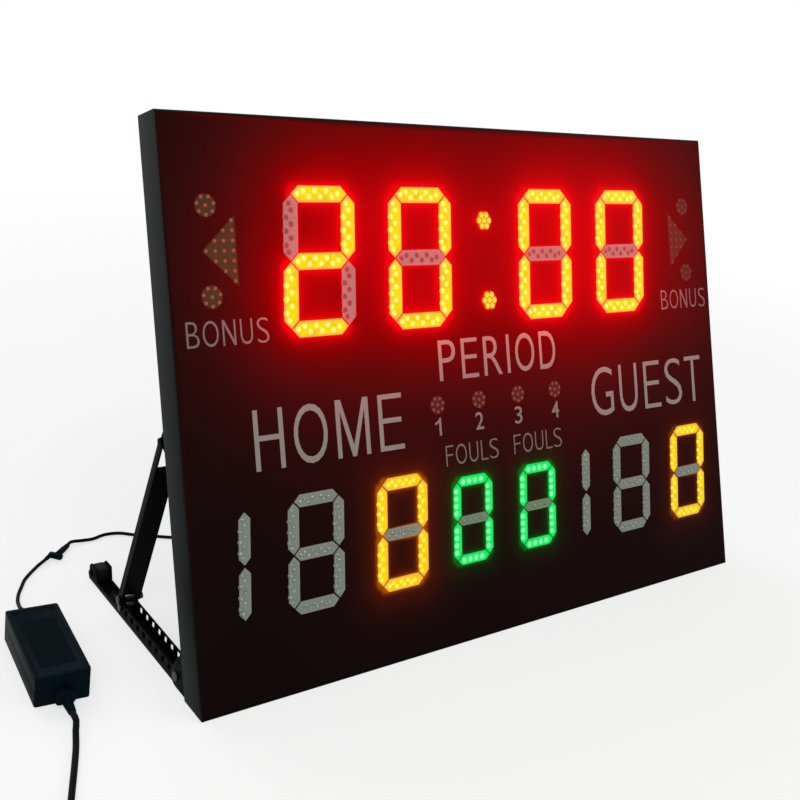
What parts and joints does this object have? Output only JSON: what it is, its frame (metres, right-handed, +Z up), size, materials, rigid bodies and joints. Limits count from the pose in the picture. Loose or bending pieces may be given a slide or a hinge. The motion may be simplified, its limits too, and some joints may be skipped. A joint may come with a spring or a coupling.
{
  "type": "electronic scoreboard",
  "caption": "Flat seven-segment LED scoreboard in a folded steel case, leaning back on a folding two-sided stand, with a mains adapter and coiled cord on the floor.",
  "frame": {"origin": "centre of the footprint of the case and its stand, on the floor", "axes": "+X to the viewer's right along the board, +Y towards the back, +Z up"},
  "size_m": [1.0456, 0.606, 0.5388],
  "materials": {
    "case_paint": "satin charcoal powder coat on folded sheet steel",
    "panel": "near-black face sheet with a faint maroon cast, smooth and slightly glossy",
    "clock_lens": "pale pinkish lens plastic over red and amber LEDs",
    "score_lens": "grey-green lens plastic over amber LEDs",
    "foul_lens": "pale grey lens plastic over green LEDs",
    "lamp_lens": "olive-brown lens plastic with small LEDs",
    "circuit_board": "green glass-epoxy circuit board",
    "plated_steel": "zinc-plated folded strip",
    "ribbon": "grey flat ribbon cable",
    "bolt_steel": "zinc-plated bolts and pins",
    "stand_paint": "semi-gloss black coated steel strip",
    "black_plastic": "slate-black moulded plastic",
    "cord": "black flexible cord sheath"
  },
  "bodies": {
    "board": {"adapter_base_shell": "black_plastic", "adapter_lead": "cord", "adapter_top_shell": "black_plastic", "bonus_lamps_left": "lamp_lens", "bonus_lamps_right": "lamp_lens", "cable_gland": "black_plastic", "case_frame": "case_paint", "clock_channel": "plated_steel", "clock_colon": "clock_lens", "clock_led_board": "circuit_board", "clock_minutes": "clock_lens", "clock_seconds": "clock_lens", "clock_tens_of_minutes": "clock_lens", "clock_tens_of_seconds": "clock_lens", "controller_board": "circuit_board", "controller_channel": "plated_steel", "dc_jack": "black_plastic", "dc_lead": "cord", "dc_plug": "black_plastic", "front_panel": "panel", "guest_fouls": "foul_lens", "guest_hundreds": "score_lens", "guest_tens": "score_lens", "guest_units": "score_lens", "hinge_bracket_left": "stand_paint", "hinge_bracket_right": "stand_paint", "hinge_pin_left": "bolt_steel", "hinge_pin_right": "bolt_steel", "home_fouls": "foul_lens", "home_hundreds": "score_lens", "home_tens": "score_lens", "home_units": "score_lens", "mains_coil": "cord", "mains_connector": "black_plastic", "mains_lead": "cord", "mains_plug": "black_plastic", "period_lamps": "lamp_lens", "period_led_board": "circuit_board", "rear_cover": "case_paint", "ribbon_cable_lower": "ribbon", "ribbon_cable_upper": "ribbon", "score_channel": "plated_steel", "score_led_board": "circuit_board", "sounder": "black_plastic", "strut_track_left": "stand_paint", "strut_track_right": "stand_paint"},
    "rail_left": {"rail_left": "stand_paint", "foot_bracket_left": "stand_paint", "foot_clamp_bolt_left": "bolt_steel", "foot_pivot_bolt_left": "bolt_steel"},
    "strut_left": {"strut_left": "stand_paint"},
    "shoe_left": {"shoe_left": "stand_paint", "shoe_bolt_left": "bolt_steel"},
    "rail_right": {"rail_right": "stand_paint", "foot_bracket_right": "stand_paint", "foot_clamp_bolt_right": "bolt_steel", "foot_pivot_bolt_right": "bolt_steel"},
    "strut_right": {"strut_right": "stand_paint"},
    "shoe_right": {"shoe_right": "stand_paint", "shoe_bolt_right": "bolt_steel"}
  },
  "joints": [
    {"name": "rail_left_fold", "type": "hinge", "parent": "board", "child": "rail_left", "pos_m": [-0.3815, -0.08158, 0.012], "axis": [1, 0, 0], "range_deg": [0, 70]},
    {"name": "strut_left_fold", "type": "hinge", "parent": "rail_left", "child": "strut_left", "pos_m": [-0.3815, 0.05692, 0.02], "axis": [1, 0, 0], "range_deg": [-107.79, 0]},
    {"name": "shoe_left_slide", "type": "slide", "parent": "board", "child": "shoe_left", "axis": [0, 0.342, 0.9397], "range_m": [0, 0.13]},
    {"name": "rail_right_fold", "type": "hinge", "parent": "board", "child": "rail_right", "pos_m": [0.3815, -0.08158, 0.012], "axis": [1, 0, 0], "range_deg": [0, 70]},
    {"name": "strut_right_fold", "type": "hinge", "parent": "rail_right", "child": "strut_right", "pos_m": [0.3815, 0.05692, 0.02], "axis": [1, 0, 0], "range_deg": [-107.79, 0]},
    {"name": "shoe_right_slide", "type": "slide", "parent": "board", "child": "shoe_right", "axis": [0, 0.342, 0.9397], "range_m": [0, 0.13]}
  ],
  "couplings": [
    {"joint": "strut_left_fold", "follows": "rail_left_fold", "ratio": -1.5398},
    {"joint": "shoe_left_slide", "follows": "rail_left_fold", "m_per_rad": 0.10637},
    {"joint": "strut_right_fold", "follows": "rail_right_fold", "ratio": -1.5398},
    {"joint": "shoe_right_slide", "follows": "rail_right_fold", "m_per_rad": 0.10637}
  ]
}
